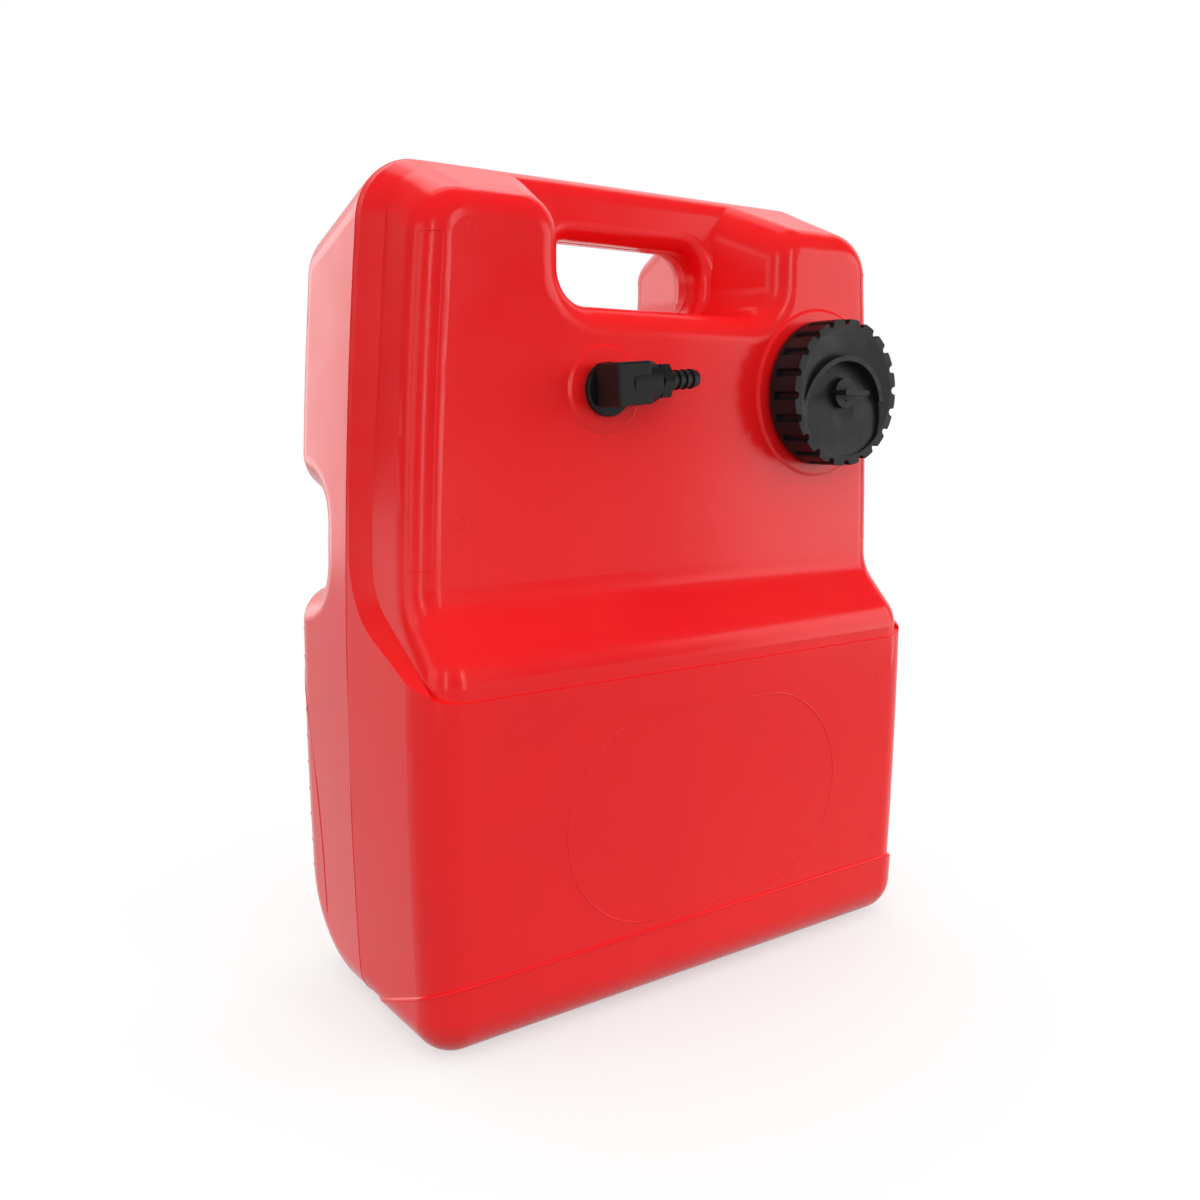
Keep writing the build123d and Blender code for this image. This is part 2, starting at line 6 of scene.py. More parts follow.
import bmesh
import bpy
from mathutils import Matrix, Vector
from mathutils.bvhtree import BVHTree


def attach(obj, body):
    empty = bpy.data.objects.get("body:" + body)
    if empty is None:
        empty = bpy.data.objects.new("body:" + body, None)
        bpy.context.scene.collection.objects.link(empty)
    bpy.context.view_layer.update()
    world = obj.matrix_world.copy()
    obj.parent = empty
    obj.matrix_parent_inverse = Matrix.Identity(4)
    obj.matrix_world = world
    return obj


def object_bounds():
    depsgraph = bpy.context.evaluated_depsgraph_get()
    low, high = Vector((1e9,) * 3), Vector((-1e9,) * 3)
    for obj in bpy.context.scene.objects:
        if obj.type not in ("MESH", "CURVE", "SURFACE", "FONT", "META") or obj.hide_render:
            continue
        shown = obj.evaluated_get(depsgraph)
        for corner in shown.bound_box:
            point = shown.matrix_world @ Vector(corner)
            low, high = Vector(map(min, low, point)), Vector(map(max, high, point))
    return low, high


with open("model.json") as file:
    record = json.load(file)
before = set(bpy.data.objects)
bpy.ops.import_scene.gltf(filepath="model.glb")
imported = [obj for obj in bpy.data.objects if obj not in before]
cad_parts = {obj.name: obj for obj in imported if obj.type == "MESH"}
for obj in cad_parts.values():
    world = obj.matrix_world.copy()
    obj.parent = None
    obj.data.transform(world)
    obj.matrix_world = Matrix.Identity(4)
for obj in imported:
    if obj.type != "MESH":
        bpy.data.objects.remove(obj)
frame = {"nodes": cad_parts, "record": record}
cad_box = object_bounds()

# ------------------------------------------------- camera: metres, radians and pixels
CAMERA_PLACE = (-0.3600, -0.4904, 0.2779)
CAMERA_YAW = 0.6235
CAMERA_PITCH = 0.1567
CAMERA_ROLL = 0.0035
CLIP_START = 0.01
SENSOR = 36.0
FOCAL_LENGTH, PICTURE_WIDTH = 1169.6, 1200
LENS = SENSOR * FOCAL_LENGTH / PICTURE_WIDTH

# ----------------------------------------------- the tank's own forms and places, metres
MM = 0.001
RIGHT, BACK, UP = Vector((1, 0, 0)), Vector((0, 1, 0)), Vector((0, 0, 1))
FILLER = Vector((0.0935, -0.053, 0.2895))
OUTLET = Vector((-0.043, -0.053, 0.2895))
UPPER_FRONT, LOWER_FRONT, REAR = -0.053, -0.077, 0.0655
BASE_HALF = 0.146
FRONT_EDGE, BACK_EDGE, LOWER_EDGE = 0.014, 0.018, 0.018
TOE_SLOPE = 34.5 / 77.0

# rays towards the tank start before it, beside it, or this far from an edge's centre
BEFORE, BESIDE, NEAR = 0.2, 0.3, 0.05
# steps between the points of a line, and of a turn in radians
STEP, LONG_STEP = 2 * MM, 3 * MM
TURN_STEP, BADGE_TURN_STEP, FRAME_TURN_STEP = 0.06, 0.04, 0.08

# ------------------------------------------------------------- moulded marks, metres
# the flash is cut a little behind the parting plane, clear of the mesh's own edges there
PARTING_OFFSET = 0.0002
# an outline of no more points than this is a scrap
SCRAP_POINTS = 8
BADGE_CENTRE = (0.005, 0.0906)
BADGE_RADIUS, BADGE_STRAIGHT = 0.0505, 0.0342
PLUG_PLACES = ((-0.1111, 0.3544), (-0.1179, 0.2324), (0.1235, 0.1401), (0.1230, 0.0483))
PLUG_RADIUS, PLUG_STEPS = 0.0022, 24
# the insert's line: its ends, how deep it stands, and where and how far it leans back
INSERT_HEIGHT = (0.028, 0.165)
INSERT_DEPTH, INSERT_BEND, INSERT_LEAN, INSERT_SPAN = 0.0375, 0.05, 0.2, 0.115
# the level marks: count, lowest, spacing, depth of the flank that carries them, and turns
LEVEL_MARKS, LEVEL_LOW, LEVEL_STEP, LEVEL_DEPTH = 10, 0.052, 0.0135, 0.03
LEVEL_START, LEVEL_ENDS = 0.15, (0.85, 1.25)
# the strip's frame: its sides as turns round the corner, its ends, and the flank's depth
FRAME_TURN, FRAME_HEIGHT, FRAME_DEPTH = (0.54, 1.3), (0.2125, 0.352), -0.03

# width and height of each ridge
PARTING_RIDGE = (0.8 * MM, 0.25 * MM)
BADGE_RIDGE = (0.9 * MM, 0.3 * MM)
PLUG_RIDGE = (0.7 * MM, 0.2 * MM)
INSERT_RIDGE = (0.8 * MM, 0.25 * MM)
LEVEL_RIDGE = (0.9 * MM, 0.35 * MM)
FRAME_RIDGE = (0.7 * MM, 0.22 * MM)
# how far a ridge's foot and its rims lie in the surface, and the foot's share of the width
SUNK, FLUSH, FOOT_SHARE = 0.0004, 0.00008, 0.35
# steps round a ridge's section, points of its run-out, neighbours that even its facing
ARC_STEPS, RUN_OUT = 6, 4
NEIGHBOURS = range(-2, 3)

# the toe's ledge: its ends, its top and foot over the toe's slope, its section in millimetres
TOE_END, LEDGE_TRIES = 0.003, 4
LEDGE_LIFTS = (0.0018, -0.15 * MM)
LEDGE_SWELL, LEDGE_ROUNDING, LEDGE_INSIDE = 0.12, 0.02, 0.5

# threads: steps a turn, root depth, run-in in steps, and half widths as shares of a pitch
THREAD_STEPS, THREAD_ROOT = 72, 0.25 * MM
THREAD_RUN_IN, THREAD_TIP = THREAD_STEPS / 12, 0.2
THREAD_FOOT, THREAD_BASE, THREAD_CREST = 0.27, 0.25, 0.1
CAP_PITCH, BUSH_PITCH = 4.5 * MM, 1.5 * MM
# lays the cap's ridge in the groove of the neck's
CAP_PHASE = math.pi * 8.9 / 4.5

# --------------------------------------------------------------------- finishes
TANK_DEEP, TANK_RED, TANK_STREAK = (0.80, 0.006, 0.010), (0.87, 0.009, 0.010), (0.90, 0.016, 0.014)
TANK_SCATTER, TANK_SCATTER_SCALE = (1.0, 0.12, 0.08), 0.008
CAP_BLACK, FITTING_BLACK = 0.011, 0.009
# the solids' flanks have no draft, so the tank's finish leans them by this slope
MOULD_DRAFT, DRAFT_REACH = 0.05, 0.1
# nearly all of a noise lies between these
NOISE_RANGE = (0.3, 0.7)

# ------------------------------------------------------------------------ light
ROOM_LIGHT = 1.0
ROOM_GLOSS = 0.05
BACKDROP_EDGE = (0.5, 0.54)
FLOOR_HALF = 6.0
FLOOR_BOUNCE = (0.45, 0.45, 0.45)
FLOOR_WHITE = (0.9, 0.9, 0.9)
# two distances from the tank's middle, and the floor's share of pure white at each
FLOOR_FADE = (0.05, 0.45, 0.45, 1.0)
AIM_HEIGHT = 0.2
# name, azimuth in degrees, distance, height, (width, height) of the box, radiance
SOFT_BOXES = (
    ("left_box", -138, 1.7, 0.45, (0.16, 1.5), 6.0),
    ("front_box", 166, 1.7, 0.45, (0.2, 1.5), 6.0),
    ("right_box", 124, 1.3, 0.35, (0.7, 0.9), 2.3),
    ("rear_box", -15, 1.96, 0.5, (0.6, 1.6), 1.8),
    ("flank_box", -95, 1.4, 0.5, (0.8, 0.9), 1.3),
    ("top_box", 20, 0.6, 1.6, (1.0, 0.8), 1.1),
)


# ------------------------------------------------------------------------- materials
def feed(links, socket, value):
    """Links another socket to a socket, or gives it a plain value."""
    if hasattr(value, "is_linked"):
        links.new(value, socket)
    else:
        socket.default_value = value


def set_ranges(node, *ranges):
    """The old and new limits of a Map Range node."""
    for socket, number in zip(("From Min", "From Max", "To Min", "To Max"), ranges):
        node.inputs[socket].default_value = number


def greatest(nodes, links, *values):
    """The greatest of several sockets."""
    result = values[0]
    for value in values[1:]:
        node = nodes.new("ShaderNodeMath")
        node.operation = "MAXIMUM"
        links.new(result, node.inputs[0])
        links.new(value, node.inputs[1])
        result = node.outputs[0]
    return result


class Finish:
    """A Principled material with a few helpers for procedural detail."""

    def __init__(self, name, **settings):
        self.material = bpy.data.materials.new(name)
        self.material.use_nodes = True
        self.nodes = self.material.node_tree.nodes
        self.links = self.material.node_tree.links
        self.shader = self.nodes["Principled BSDF"]
        self.place = self.add("ShaderNodeTexCoord").outputs["Object"]
        for socket, value in settings.items():
            self.shader.inputs[socket.replace("_", " ")].default_value = value

    def add(self, kind, **inputs):
        """A new node with some of its inputs fed."""
        node = self.nodes.new(kind)
        for socket, value in inputs.items():
            feed(self.links, node.inputs[socket.replace("_", " ")], value)
        return node

    def noise(self, scale, detail, stretch=None):
        """Noise over object coordinates, which may be stretched along the axes."""
        place = self.place
        if stretch:
            place = self.add("ShaderNodeMapping", Vector=place, Scale=stretch).outputs["Vector"]
        return self.add("ShaderNodeTexNoise", Vector=place, Scale=scale, Detail=detail).outputs["Fac"]

    def remap(self, value, *ranges):
        node = self.add("ShaderNodeMapRange", Value=value)
        set_ranges(node, *ranges)
        return node.outputs["Result"]

    def spread(self, noise, low, high):
        """Noise made to run from low to high."""
        return self.remap(noise, *NOISE_RANGE, low, high)

    def blend(self, factor, first, second):
        """A colour between two, each of them a socket or a plain colour."""
        node = self.nodes.new("ShaderNodeMix")
        node.data_type = "RGBA"
        self.links.new(factor, node.inputs["Factor"])
        for index, colour in ((6, first), (7, second)):
            feed(self.links, node.inputs[index], (*colour, 1) if isinstance(colour, tuple) else colour)
        return node.outputs[2]

    def colour(self, source):
        self.links.new(source, self.shader.inputs["Base Color"])

    def roughness(self, source):
        self.links.new(source, self.shader.inputs["Roughness"])

    def bump(self, *layers):
        """Layers of (height, distance in metres, strength), laid over each other."""
        normal = None
        for height, distance, strength in layers:
            node = self.add("ShaderNodeBump", Height=height, Distance=distance, Strength=strength)
            if normal:
                self.links.new(normal, node.inputs["Normal"])
            normal = node.outputs["Normal"]
        self.links.new(normal, self.shader.inputs["Normal"])


def tank_finish(name, scatter):
    """Satin red polyethylene with flow marks and a fine grain, translucent where it scatters."""
    finish = Finish(
        name, Subsurface_Weight=scatter, Subsurface_Scale=TANK_SCATTER_SCALE, Specular_IOR_Level=0.3)
    finish.shader.inputs["Subsurface Radius"].default_value = TANK_SCATTER
    clouds = finish.spread(finish.noise(scale=7, detail=3), 0, 1)
    streaks = finish.remap(finish.noise(scale=30, detail=2, stretch=(1, 1, 0.12)), 0.35, 0.75, 0, 0.25)
    finish.colour(finish.blend(streaks, finish.blend(clouds, TANK_DEEP, TANK_RED), TANK_STREAK))
    finish.roughness(finish.spread(finish.noise(scale=55, detail=4), 0.19, 0.24))
    depth = finish.add("ShaderNodeSeparateXYZ", Vector=finish.place).outputs["Y"]
    from_parting = finish.add("ShaderNodeMath", Value=depth)
    from_parting.operation = "ABSOLUTE"
    draft = finish.remap(from_parting.outputs[0], 0, DRAFT_REACH, DRAFT_REACH * MOULD_DRAFT, 0)
    waves = finish.noise(scale=28, detail=1)
    grain = finish.noise(scale=900, detail=2)
    finish.bump((draft, 1.0, 1.0), (waves, 0.0004, 0.2), (grain, 0.00003, 0.12))
    return finish.material


def black_finish(name, shade, grain_scale):
    """Moulded black nylon or polyethylene with a fine spark-eroded grain."""
    finish = Finish(name, Specular_IOR_Level=0.2)
    dark, light = (shade * 0.75,) * 3, (shade * 1.35, shade * 1.3, shade * 1.32)
    finish.colour(finish.blend(finish.spread(finish.noise(scale=60, detail=4), 0, 1), dark, light))
    finish.roughness(finish.spread(finish.noise(scale=160, detail=3), 0.36, 0.5))
    finish.bump((finish.noise(scale=grain_scale, detail=2), 0.00006, 0.5))
    return finish.material


def rubber_finish():
    """Black nitrile rubber."""
    finish = Finish("nitrile_rubber")
    finish.colour(finish.blend(finish.noise(scale=300, detail=3), (0.012,) * 3, (0.03,) * 3))
    finish.roughness(finish.spread(finish.noise(scale=400, detail=2), 0.55, 0.7))
    finish.bump((finish.noise(scale=2500, detail=2), 0.00004, 0.5))
    return finish.material


def hose_finish():
    """Fuel hose with faint lengthwise extrusion lines."""
    finish = Finish("fuel_hose")
    lines = finish.noise(scale=900, detail=1, stretch=(1, 1, 0.02))
    finish.colour(finish.blend(lines, (0.02, 0.02, 0.021), (0.045, 0.045, 0.045)))
    finish.roughness(finish.spread(finish.noise(scale=200, detail=2), 0.45, 0.6))
    finish.bump((lines, 0.0001, 0.4))
    return finish.material


def steel_finish():
    """Spring steel with a fine uneven grain."""
    finish = Finish("spring_steel", Metallic=1.0)
    finish.colour(finish.blend(finish.noise(scale=500, detail=3), (0.5, 0.5, 0.52), (0.68, 0.68, 0.68)))
    finish.roughness(finish.spread(finish.noise(scale=1200, detail=2), 0.25, 0.4))
    finish.bump((finish.noise(scale=2000, detail=1), 0.00002, 0.4))
    return finish.material


def strainer_finish():
    """Natural acetal."""
    finish = Finish("natural_acetal", Subsurface_Weight=0.1, Subsurface_Scale=0.003)
    finish.colour(finish.blend(finish.noise(scale=90, detail=3), (0.62, 0.61, 0.56), (0.74, 0.73, 0.69)))
    finish.roughness(finish.spread(finish.noise(scale=300, detail=2), 0.35, 0.5))
    finish.bump((finish.noise(scale=1500, detail=2), 0.00005, 0.4))
    return finish.material


def screen_finish():
    """Woven nylon mesh."""
    finish = Finish("nylon_mesh")
    threads = []
    for direction in ("Z", "DIAGONAL"):
        wave = finish.add("ShaderNodeTexWave", Vector=finish.place, Scale=700.0)
        wave.bands_direction = direction
        threads.append(wave.outputs["Fac"])
    warp, weft = threads
    finish.colour(finish.blend(warp, (0.35, 0.35, 0.33), (0.72, 0.72, 0.69)))
    finish.roughness(finish.remap(weft, 0, 1, 0.4, 0.6))
    finish.bump((warp, 0.0002, 0.6), (weft, 0.0002, 0.6))
    return finish.material


FINISHES = {
    "tank": tank_finish("tank_polyethylene", 0.12),
    "tank_marks": tank_finish("tank_moulded_marks", 0.0),
    "cap": black_finish("cap_plastic", CAP_BLACK, 1300),
    "fitting": black_finish("fitting_plastic", FITTING_BLACK, 1700),
    "seal": rubber_finish(),
    "hose": hose_finish(),
    "clip": steel_finish(),
    "strainer": strainer_finish(),
    "screen": screen_finish(),
}


def finish_nodes():
    """Every CAD node takes the finish of its slot in the record."""
    for entry in frame["record"]["subparts"]:
        node = frame["nodes"][entry["node"]]
        for slot in node.material_slots:
            slot.link = "OBJECT"
            slot.material = FINISHES[entry["material_slot"]]


# --------------------------------------------------------------------- moulded marks
def add_piece(name, mesh, body, slot):
    """Puts a mesh in the scene as a piece of a body, in the finish of a slot."""
    piece = bpy.data.objects.new(name, mesh)
    bpy.context.scene.collection.objects.link(piece)
    mesh.materials.append(FINISHES["tank_marks" if slot == "tank" else slot])
    for polygon in mesh.polygons:
        polygon.use_smooth = True
    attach(piece, body)


def tank_copy():
    """The tank's own mesh, welded, to take places from."""
    shape = bmesh.new()
    shape.from_mesh(frame["nodes"]["tank_body"].data)
    bmesh.ops.remove_doubles(shape, verts=shape.verts, dist=1e-6)
    return shape


def tank_surface():
    """The tank's surface, for rays and nearest places."""
    shape = tank_copy()
    surface = BVHTree.FromBMesh(shape)
    shape.free()
    return surface


SURFACE = tank_surface()


def skinned(name, rings, closed):
    """A closed mesh through rings of points, which are kept inside the CAD box."""
    shape = bmesh.new()
    low, high = cad_box
    rows = []
    for ring in rings:
        kept = [[min(max(value, a), b) for value, a, b in zip(point, low, high)] for point in ring]
        rows.append([shape.verts.new(point) for point in kept])
    follows = rows[1:] + rows[:1] if closed else rows[1:]
    for first, second in zip(rows, follows):
        for k in range(len(first)):
            j = (k + 1) % len(first)
            shape.faces.new((first[k], first[j], second[j], second[k]))
    if not closed:
        shape.faces.new(rows[0][::-1])
        shape.faces.new(rows[-1])
    bmesh.ops.recalc_face_normals(shape, faces=shape.faces)
    mesh = bpy.data.meshes.new(name)
    shape.to_mesh(mesh)
    shape.free()
    return mesh


def touch(start, heading):
    """Where a ray meets the tank, and the surface's facing there."""
    return SURFACE.ray_cast(start, heading)[:2]


def lay(starts, heading):
    """Where rays of one heading meet the tank."""
    return [touch(start, heading) for start in starts]


def evened(line, closed):
    """The same line with its facings smoothed along it."""
    count = len(line)
    result = []
    for k, (place, _) in enumerate(line):
        near = [(k + d) % count if closed else min(max(k + d, 0), count - 1) for d in NEIGHBOURS]
        facing = sum((line[j][1] for j in near), Vector((0, 0, 0)))
        result.append((place, facing.normalized()))
    return result


def ridge(name, line, width, height, closed=False):
    """A low rounded ridge along a line on the tank, running out at open ends."""
    line = evened(line, closed)
    count = len(line)
    rings = []
    for k, (place, facing) in enumerate(line):
        before = line[k - 1][0] if closed or k else place
        after = line[(k + 1) % count][0] if closed or k + 1 < count else place
        across = facing.cross(after - before).normalized()
        swell = 1 if closed else min(1, (min(k, count - 1 - k) + 0.5) / RUN_OUT)
        ring = [place + across * width * side - facing * SUNK for side in (FOOT_SHARE, -FOOT_SHARE)]
        for step in range(ARC_STEPS + 1):
            angle = math.pi * step / ARC_STEPS
            out = facing * ((height + FLUSH) * swell * math.sin(angle) - FLUSH)
            ring.append(place - across * (width / 2 * math.cos(angle)) + out)
        rings.append(ring)
    add_piece(name, skinned(name, rings, closed), "tank", "tank")


def spaced(low, high, gap):
    """Even steps from low to high, about a gap apart."""
    count = max(2, round(abs(high - low) / gap))
    return [low + (high - low) * k / count for k in range(count + 1)]


def outlines(shape):
    """The closed outlines that a mesh of edges alone consists of, as lists of places."""
    left = dict.fromkeys(shape.verts)
    loops = []
    while left:
        corner = next(iter(left))
        loop = []
        while corner is not None:
            del left[corner]
            loop.append(corner.co.copy())
            near = [edge.other_vert(corner) for edge in corner.link_edges]
            corner = next((vert for vert in near if vert in left), None)
        loops.append(loop)
    return loops


def walked(loop, step):
    """Points at even steps along a closed loop."""
    runs = [(b - a).length for a, b in zip(loop, loop[1:] + loop[:1])]
    count = round(sum(runs) / step)
    places, k, passed = [], 0, 0.0
    for n in range(count):
        goal = sum(runs) * n / count
        while passed + runs[k] < goal:
            passed += runs[k]
            k += 1
        places.append(loop[k].lerp(loop[(k + 1) % len(loop)], (goal - passed) / runs[k]))
    return places


def parting_lines():
    """Mould flash on the parting plane, round the tank and round the handle's hole."""
    shape = tank_copy()
    bmesh.ops.bisect_plane(
        shape, geom=shape.verts[:] + shape.edges[:] + shape.faces[:], dist=1e-7,
        plane_co=(0, PARTING_OFFSET, 0), plane_no=BACK, clear_inner=True, clear_outer=True)
    loops = [loop for loop in outlines(shape) if len(loop) > SCRAP_POINTS]
    shape.free()
    loops.sort(key=lambda loop: max(p.x for p in loop) - min(p.x for p in loop))
    for name, loop in (("parting_line", loops[-1]), ("parting_line_handle", loops[0])):
        line = [(place, SURFACE.find_nearest(place)[1]) for place in walked(loop, STEP)]
        ridge(name, line, *PARTING_RIDGE, closed=True)


def badge_outline():
    """Raised outline of the bare badge on the lower front."""
    straight = spaced(-BADGE_STRAIGHT, BADGE_STRAIGHT, STEP)[:-1]
    turn = spaced(-math.pi / 2, math.pi / 2, BADGE_TURN_STEP)[:-1]
    half = [(x, -BADGE_RADIUS) for x in straight]
    half += [(BADGE_STRAIGHT + BADGE_RADIUS * math.cos(a), BADGE_RADIUS * math.sin(a)) for a in turn]
    flat = half + [(-x, -z) for x, z in half]
    starts = [Vector((BADGE_CENTRE[0] + x, -BEFORE, BADGE_CENTRE[1] + z)) for x, z in flat]
    ridge("badge_outline", lay(starts, BACK), *BADGE_RIDGE, closed=True)


def vent_plug_marks():
    """Small rings that the mould's vent plugs leave on the front."""
    turn = [2 * math.pi * n / PLUG_STEPS for n in range(PLUG_STEPS)]
    ring = [(PLUG_RADIUS * math.cos(a), PLUG_RADIUS * math.sin(a)) for a in turn]
    for k, (x, z) in enumerate(PLUG_PLACES):
        line = lay([Vector((x + dx, -BEFORE, z + dz)) for dx, dz in ring], BACK)
        ridge(f"vent_plug_mark_{k + 1}", line, *PLUG_RIDGE, closed=True)


def flank_lines():
    """Upright witness line of a mould insert on each flank, bent back in its upper part."""
    for name, side in (("left", -1), ("right", 1)):
        starts = []
        for z in spaced(*INSERT_HEIGHT, STEP):
            depth = INSERT_DEPTH + INSERT_LEAN * max(0, z - INSERT_BEND) ** 2 / INSERT_SPAN
            starts.append(Vector((side * BESIDE, depth, z)))
        ridge(f"insert_line_{name}", lay(starts, RIGHT * -side), *INSERT_RIDGE)


def level_marks():
    """Plain level marks round the left rear edge, every second one longer."""
    for k in range(LEVEL_MARKS):
        height = LEVEL_LOW + k * LEVEL_STEP
        flank, _ = touch(Vector((-BESIDE, LEVEL_DEPTH, height)), RIGHT)
        centre = Vector((flank.x + BACK_EDGE, REAR - BACK_EDGE, height))
        turn = spaced(LEVEL_START, LEVEL_ENDS[k % 2], TURN_STEP)
        outward = [Vector((-math.cos(a), math.sin(a), 0)) for a in turn]
        line = [touch(centre + d * NEAR, -d) for d in outward]
        ridge(f"level_mark_{k + 1}", line, *LEVEL_RIDGE)


def strip_place(side, angle, height):
    """A place on the front corner of a sunk strip."""
    flank, _ = touch(Vector((side * BESIDE, FRAME_DEPTH, height)), RIGHT * -side)
    centre = Vector((flank.x - side * FRONT_EDGE, UPPER_FRONT + FRONT_EDGE, height))
    outward = Vector((side * math.cos(angle), -math.sin(angle), 0))
    return touch(centre + outward * NEAR, -outward)


def strip_frames():
    """Thin raised frame of a bare plate round the front corner of each sunk strip."""
    path = [(FRAME_TURN[0], z) for z in spaced(*FRAME_HEIGHT, STEP)[:-1]]
    path += [(a, FRAME_HEIGHT[1]) for a in spaced(*FRAME_TURN, FRAME_TURN_STEP)[:-1]]
    path += [(FRAME_TURN[1], z) for z in spaced(*FRAME_HEIGHT[::-1], STEP)[:-1]]
    path += [(a, FRAME_HEIGHT[0]) for a in spaced(*FRAME_TURN[::-1], FRAME_TURN_STEP)[:-1]]
    for name, side in (("left", -1), ("right", 1)):
        line = [strip_place(side, angle, height) for angle, height in path]
        ridge(f"strip_frame_{name}", line, *FRAME_RIDGE, closed=True)


def toe_path():
    """Places and outward directions round the front half, from flank to flank."""
    half, front = BASE_HALF - LOWER_EDGE, -LOWER_FRONT - LOWER_EDGE
    path = [(Vector((-BASE_HALF, -y, 0)), -RIGHT) for y in spaced(TOE_END, front, STEP)[:-1]]
    for a in spaced(0, math.pi / 2, TURN_STEP)[:-1]:
        outward = Vector((-math.cos(a), -math.sin(a), 0))
        path.append((Vector((-half, -front, 0)) + outward * LOWER_EDGE, outward))
    path += [(Vector((x, LOWER_FRONT, 0)), -BACK) for x in spaced(-half, 0, LONG_STEP)]
    mirrored = [(Vector((-p.x, p.y, 0)), Vector((-d.x, d.y, 0))) for p, d in path[-2::-1]]
    return path + mirrored


def toe_ledge():
    """Sloping ledge on top of the toe, where its skin stands out from the wall above."""
    rings = []
    for place, outward in toe_path():
        points = []
        for lift in LEDGE_LIFTS:
            depth = place.y
            for _ in range(LEDGE_TRIES):
                level = -TOE_SLOPE * depth + lift
                point, _ = touch(Vector((place.x, place.y, level)) + outward * NEAR, -outward)
                depth = point.y
            points.append(point)
        top, foot = points
        middle = (top + foot) / 2 + outward * LEDGE_SWELL * MM
        inside = -outward * LEDGE_INSIDE * MM
        rounded = top - outward * LEDGE_ROUNDING * MM
        rings.append([top + inside, rounded, middle, foot, foot + inside])
    add_piece("toe_ledge", skinned("toe_ledge", rings, False), "tank", "tank")


def thread(name, axis, radius, depth, pitch, low, high, body, slot, phase=0.0):
    """A right-hand thread round an axis out of the front; a depth below zero turns it inward."""
    count = round((high - low) / pitch * THREAD_STEPS)
    root = math.copysign(THREAD_ROOT, depth)
    rings = []
    for k in range(count + 1):
        angle = phase + 2 * math.pi * k / THREAD_STEPS
        level = low + pitch * k / THREAD_STEPS
        swell = min(1, (min(k, count - k) + THREAD_TIP) / THREAD_RUN_IN)
        outward = RIGHT * math.cos(angle) + UP * math.sin(angle)
        half = [(-root, THREAD_FOOT), (0, THREAD_BASE), (depth * swell, THREAD_CREST)]
        section = [(r, -h) for r, h in half] + half[::-1]
        rings.append([axis + outward * (radius + r) - BACK * (level + pitch * h) for r, h in section])
    add_piece(name, skinned(name, rings, False), body, slot)


def threads():
    """Threads of the neck, of the cap and of the bush inside the tank."""
    thread("neck_thread", FILLER, radius=29.2 * MM, depth=0.95 * MM, pitch=CAP_PITCH,
           low=2.4 * MM, high=9.6 * MM, body="tank", slot="tank")
    thread("cap_thread", FILLER, radius=30.4 * MM, depth=-0.95 * MM, pitch=CAP_PITCH,
           low=4.4 * MM, high=11.6 * MM, body="cap", slot="cap", phase=CAP_PHASE)
    thread("bush_thread", OUTLET, radius=9.0 * MM, depth=0.5 * MM, pitch=BUSH_PITCH,
           low=-13.4 * MM, high=-9.7 * MM, body="tank", slot="fitting")


# ------------------------------------------------------------------ camera and light
def place_camera():
    """The photograph's own viewpoint."""
    camera = bpy.data.cameras.new("camera")
    camera.sensor_width = SENSOR
    camera.lens = LENS
    camera.clip_start = CLIP_START
    holder = bpy.data.objects.new("camera", camera)
    turn = Matrix.Rotation(-CAMERA_YAW, 4, "Z") @ Matrix.Rotation(math.pi / 2 - CAMERA_PITCH, 4, "X")
    holder.matrix_world = Matrix.Translation(CAMERA_PLACE) @ turn @ Matrix.Rotation(CAMERA_ROLL, 4, "Z")
    bpy.context.scene.collection.objects.link(holder)
    bpy.context.scene.camera = holder


def soft_box(name, azimuth, distance, height, size, radiance):
    """A soft box that faces the tank; its azimuth runs clockwise from the back."""
    light = bpy.data.lights.new(name, "AREA")
    light.shape = "RECTANGLE"
    light.size, light.size_y = size
    light.energy = radiance * math.pi * size[0] * size[1]
    holder = bpy.data.objects.new(name, light)
    turn = math.radians(azimuth)
    place = Vector((distance * math.sin(turn), distance * math.cos(turn), height))
    holder.location = place
    aim = Vector((0, 0, AIM_HEIGHT)) - place
    holder.rotation_euler = aim.to_track_quat("-Z", "Y").to_euler()
    holder.visible_camera = False
    bpy.context.scene.collection.objects.link(holder)


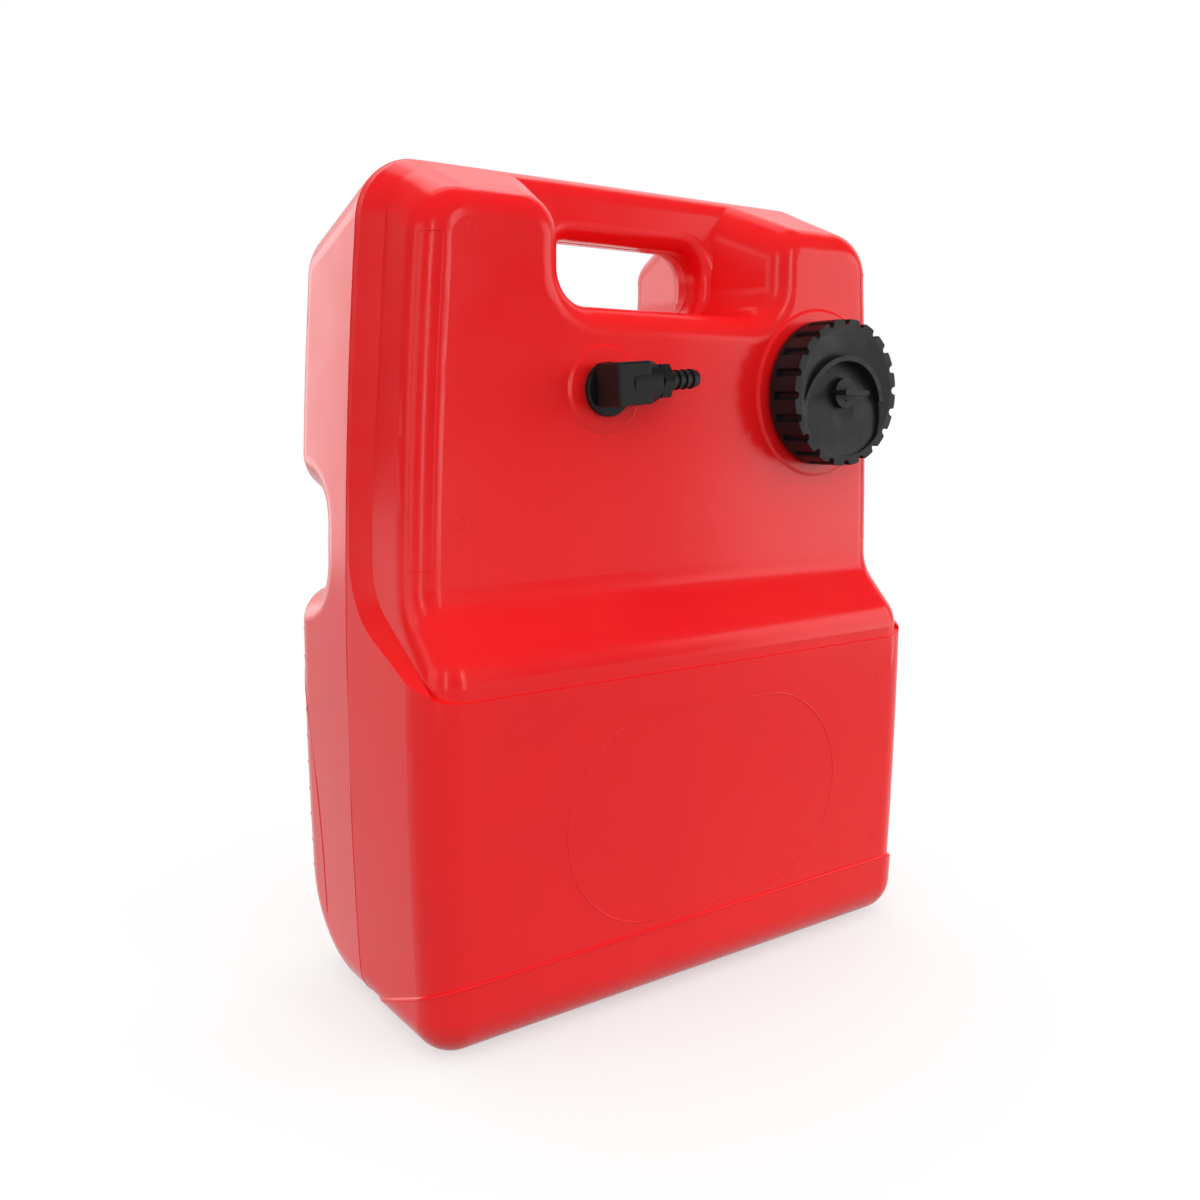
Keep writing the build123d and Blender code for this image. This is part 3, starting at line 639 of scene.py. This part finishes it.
def light_world():
    """A white backdrop in a dimmer room: the camera sees white, glosses see both."""
    world = bpy.data.worlds.new("room")
    bpy.context.scene.world = world
    world.use_nodes = True
    nodes, links = world.node_tree.nodes, world.node_tree.links
    background = nodes["Background"]
    background.inputs["Color"].default_value = (1, 1, 1, 1)
    ray = nodes.new("ShaderNodeLightPath").outputs
    toward = nodes.new("ShaderNodeVectorMath")
    toward.operation = "DOT_PRODUCT"
    links.new(nodes.new("ShaderNodeTexCoord").outputs["Generated"], toward.inputs[0])
    toward.inputs[1].default_value = (math.sin(CAMERA_YAW), math.cos(CAMERA_YAW), 0)
    backdrop = nodes.new("ShaderNodeMapRange")
    backdrop.interpolation_type = "SMOOTHSTEP"
    links.new(toward.outputs["Value"], backdrop.inputs["Value"])
    set_ranges(backdrop, *BACKDROP_EDGE, ROOM_GLOSS, 1.0)
    gloss = greatest(nodes, links, ray["Is Glossy Ray"], ray["Is Transmission Ray"])
    strength = ROOM_LIGHT
    for kind, seen in ((gloss, backdrop.outputs["Result"]), (ray["Is Camera Ray"], 1.0)):
        mix = nodes.new("ShaderNodeMix")
        links.new(kind, mix.inputs["Factor"])
        feed(links, mix.inputs[2], strength)
        feed(links, mix.inputs[3], seen)
        strength = mix.outputs[0]
    links.new(strength, background.inputs["Strength"])


def lay_floor():
    """White floor that keeps the tank's shadow and fades into the white room."""
    mesh = bpy.data.meshes.new("floor")
    signs = ((-1, -1), (1, -1), (1, 1), (-1, 1))
    mesh.from_pydata([(x * FLOOR_HALF, y * FLOOR_HALF, 0) for x, y in signs], [], [(0, 1, 2, 3)])
    floor = bpy.data.objects.new("floor", mesh)
    bpy.context.scene.collection.objects.link(floor)
    finish = Finish("floor_paper", Roughness=0.9, Specular_IOR_Level=0.1)
    ray = finish.add("ShaderNodeLightPath").outputs
    kinds = [ray[f"Is {kind} Ray"] for kind in ("Camera", "Glossy", "Transmission")]
    seen = greatest(finish.nodes, finish.links, *kinds)
    finish.colour(finish.blend(seen, FLOOR_BOUNCE, FLOOR_WHITE))
    glow = finish.add("ShaderNodeEmission", Strength=seen)
    away = finish.add("ShaderNodeVectorMath", Vector=finish.place)
    away.operation = "LENGTH"
    mix = finish.nodes.new("ShaderNodeMixShader")
    finish.links.new(finish.remap(away.outputs["Value"], *FLOOR_FADE), mix.inputs[0])
    finish.links.new(finish.shader.outputs[0], mix.inputs[1])
    finish.links.new(glow.outputs[0], mix.inputs[2])
    finish.links.new(mix.outputs[0], finish.nodes["Material Output"].inputs["Surface"])
    mesh.materials.append(finish.material)


finish_nodes()
parting_lines()
badge_outline()
vent_plug_marks()
flank_lines()
level_marks()
strip_frames()
toe_ledge()
threads()

place_camera()
light_world()
lay_floor()
for box in SOFT_BOXES:
    soft_box(*box)
bpy.context.scene.view_settings.view_transform = "Standard"
